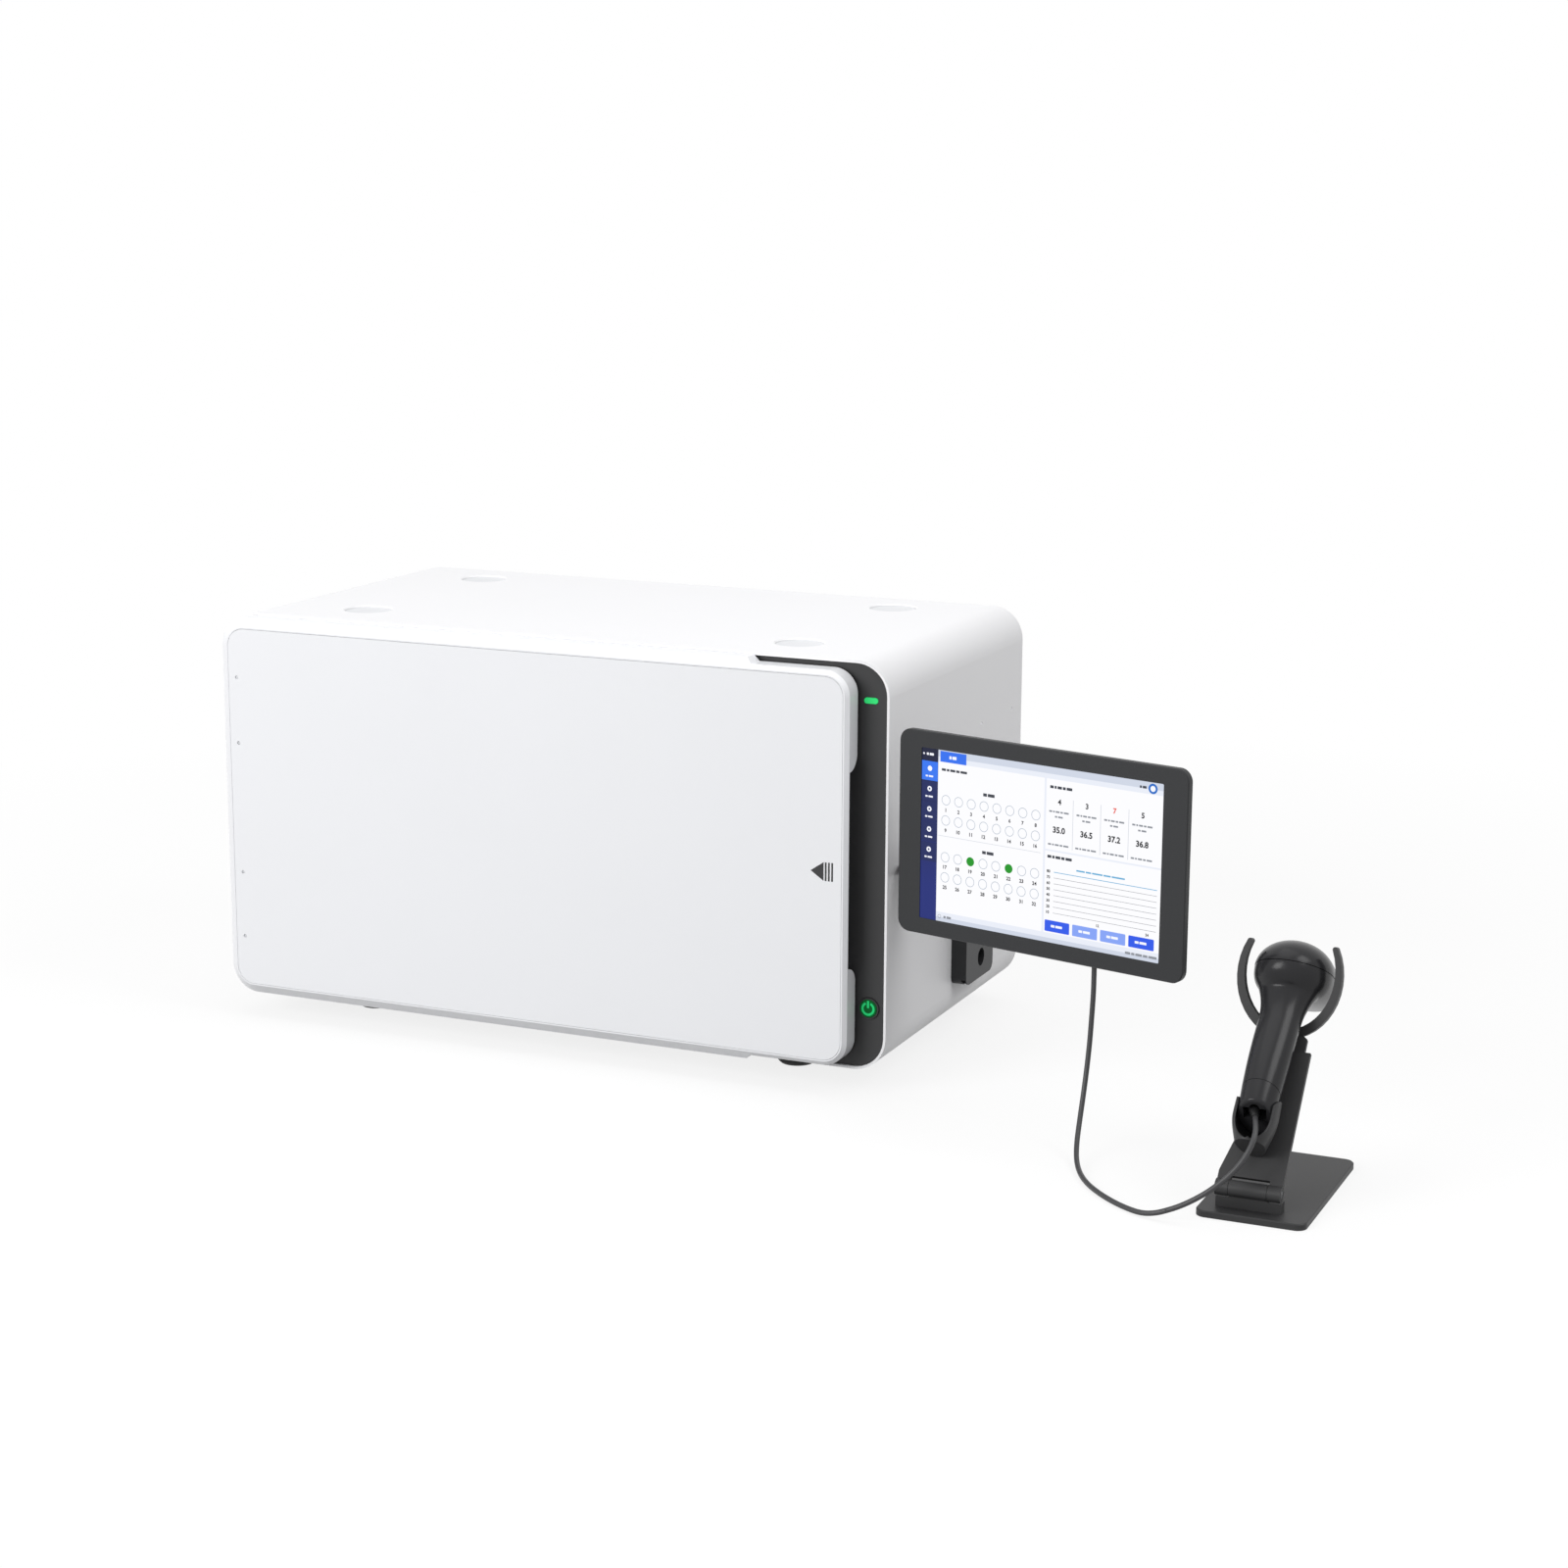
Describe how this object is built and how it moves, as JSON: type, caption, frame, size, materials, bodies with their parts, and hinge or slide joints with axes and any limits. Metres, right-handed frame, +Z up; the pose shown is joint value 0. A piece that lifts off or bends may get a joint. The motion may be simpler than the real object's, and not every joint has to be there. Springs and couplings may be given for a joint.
{
  "type": "automated blood culture system",
  "caption": "Bench-top heated cabinet with a side-hinged door, rocking racks of bottle wells, a touch monitor on a side arm and a corded hand scanner in a tilting stand.",
  "frame": {"origin": "middle of the footprint, at the height of the bench that the feet stand on", "axes": "+X to the instrument's right as seen from the front, +Y to the back, +Z up"},
  "size_m": [0.994, 0.4963, 0.353],
  "materials": {
    "case_white": "satin powder coat",
    "door_white": "semi-gloss moulding",
    "bezel_dark": "fine matte grain",
    "inner_metal": "plain sheet",
    "machined": "ground",
    "foam": "closed-cell foam",
    "rubber_black": "matte",
    "light_green": "lit from behind",
    "rack_plastic": "moulded",
    "light_pipe": "clear light pipe",
    "board_green": "solder mask",
    "vial_glass": "clear",
    "gear_brass": "machined",
    "black_plastic": "moulded",
    "aluminium_plain": "as drawn",
    "arm_dark": "textured powder coat",
    "monitor_dark": "fine grain",
    "screen": "lit display behind a touch sheet",
    "scanner_dark": "satin moulding",
    "window_red": "tinted",
    "cord_dark": "smooth jacket"
  },
  "bodies": {
    "cabinet": {"case_shell": "case_white", "front_bezel": "bezel_dark", "rear_panel": "case_white", "chamber_liner": "inner_metal", "chamber_insulation": "foam", "rubber_feet": "rubber_black", "status_lens": "light_green", "button_ring": "black_plastic", "hinge_brackets": "inner_metal", "hinge_pins": "machined", "catch_plates": "inner_metal", "case_screws": "machined", "shaft_bearings": "machined", "motor_bracket": "inner_metal", "drive_motor": "black_plastic", "fan_housing": "black_plastic", "fan_guard": "inner_metal", "heater": "aluminium_plain", "power_supply": "aluminium_plain", "main_board": "board_green", "power_inlet": "black_plastic", "arm_block": "arm_dark", "arm_plate": "arm_dark", "arm_post": "arm_dark", "stand_base": "bezel_dark", "stand_pin": "machined", "cord_to_bench": "cord_dark"},
    "door": {"door_shell": "door_white", "door_panel": "door_white", "door_core": "foam", "door_liner": "inner_metal", "door_seal": "rubber_black", "door_hinges": "inner_metal", "door_magnets": "inner_metal"},
    "rocker": {"rocker_shaft": "machined", "rocker_frame": "inner_metal", "rack_upper": "rack_plastic", "rack_lower": "rack_plastic", "well_lights": "light_pipe", "sensor_boards": "board_green", "reference_vials": "vial_glass", "sector_gear": "gear_brass"},
    "pinion": {"drive_pinion": "machined"},
    "fan": {"fan_rotor": "black_plastic"},
    "button": {"power_button": "light_green"},
    "mains_switch": {"switch_rocker": "black_plastic"},
    "monitor": {"monitor_frame": "monitor_dark", "monitor_screen": "screen", "monitor_back": "monitor_dark", "monitor_bracket": "arm_dark", "scanner_plug": "black_plastic"},
    "tilt_post": {"stand_post": "bezel_dark", "scanner_fork": "bezel_dark", "scanner_cup": "bezel_dark", "scanner_body": "scanner_dark", "scanner_cap": "scanner_dark", "scanner_window": "window_red", "cord_boot": "black_plastic", "cord_to_scanner": "cord_dark"},
    "trigger": {"scanner_trigger": "black_plastic"}
  },
  "joints": [
    {"name": "door_hinge", "type": "hinge", "parent": "cabinet", "child": "door", "pos_m": [-0.4879, -0.08225, 0.1865], "axis": [0, 0, -1], "range_deg": [0, 110]},
    {"name": "rack_rocking", "type": "hinge", "parent": "cabinet", "child": "rocker", "pos_m": [-0.232, 0.03675, 0.1865], "axis": [1, 0, 0], "range_deg": [-15, 15]},
    {"name": "pinion_spin", "type": "hinge", "parent": "cabinet", "child": "pinion", "pos_m": [0.018, 0.03675, 0.119], "axis": [1, 0, 0], "range_deg": [-61, 61]},
    {"name": "fan_spin", "type": "hinge", "parent": "cabinet", "child": "fan", "pos_m": [-0.232, 0.13275, 0.1865], "axis": [0, 1, 0], "continuous": true},
    {"name": "power_press", "type": "slide", "parent": "cabinet", "child": "button", "axis": [0, 1, 0], "range_m": [0, 0.0015], "stiffness_N_per_m": 800},
    {"name": "mains_rocker", "type": "hinge", "parent": "cabinet", "child": "mains_switch", "pos_m": [0.053, 0.22325, 0.075], "axis": [-1, 0, 0], "range_deg": [0, 24]},
    {"name": "monitor_swivel", "type": "hinge", "parent": "cabinet", "child": "monitor", "pos_m": [0.25945, -0.08269, 0.224], "axis": [0, 0, 1], "range_deg": [-4, 60]},
    {"name": "stand_tilt", "type": "hinge", "parent": "cabinet", "child": "tilt_post", "pos_m": [0.452, -0.22225, 0.0195], "axis": [1, 0, 0], "range_deg": [-18, 24]},
    {"name": "trigger_pull", "type": "slide", "parent": "tilt_post", "child": "trigger", "axis": [0, -0.7705, 0.6374], "range_m": [0, 0.002], "stiffness_N_per_m": 600}
  ],
  "couplings": [
    {"joint": "pinion_spin", "follows": "rack_rocking", "ratio": -4}
  ]
}
